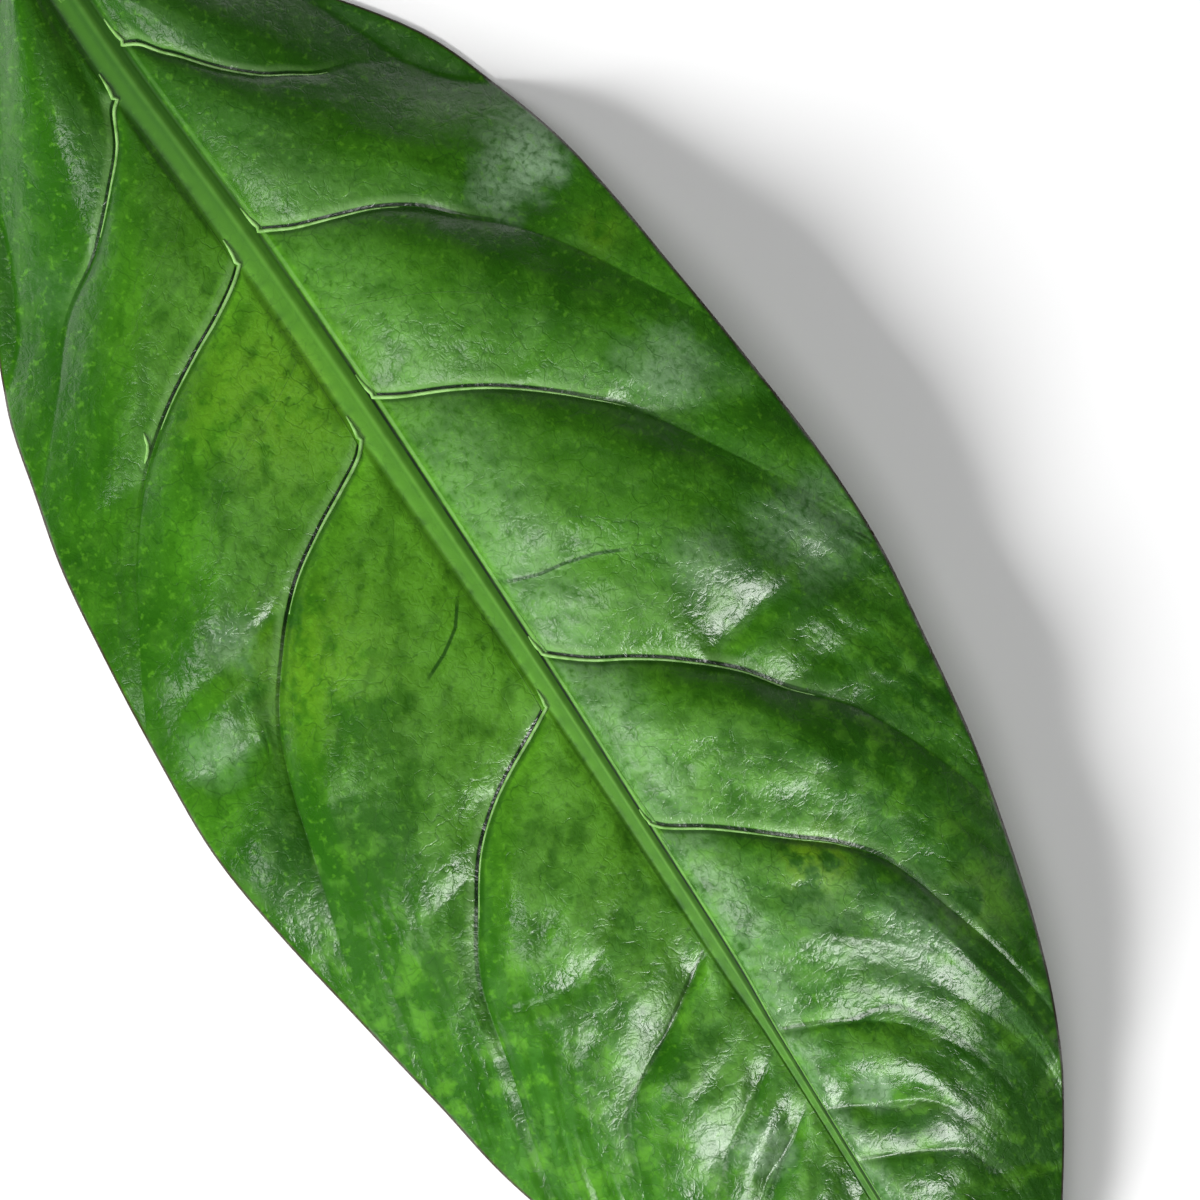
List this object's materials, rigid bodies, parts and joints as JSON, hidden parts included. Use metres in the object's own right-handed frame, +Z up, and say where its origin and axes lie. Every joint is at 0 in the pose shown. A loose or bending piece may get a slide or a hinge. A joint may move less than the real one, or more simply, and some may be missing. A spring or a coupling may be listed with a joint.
{
  "type": "picked anthurium leaf",
  "caption": "Long elliptic leaf with a raised midrib, swept lateral veins, a puffed glossy blade and a short cut stalk, lying upper side up.",
  "frame": {"origin": "on the surface the leaf lies on, under the middle of its bounding box", "axes": "+X along the leaf from the cut stalk to the tip, +Z up from the surface through the upper face, +Y to the right margin as seen from above with the tip pointing away"},
  "size_m": [0.2822, 0.0908, 0.0226],
  "materials": {
    "leaf_green": "glossy"
  },
  "bodies": {
    "root": {"leaf": "leaf_green"}
  },
  "joints": []
}
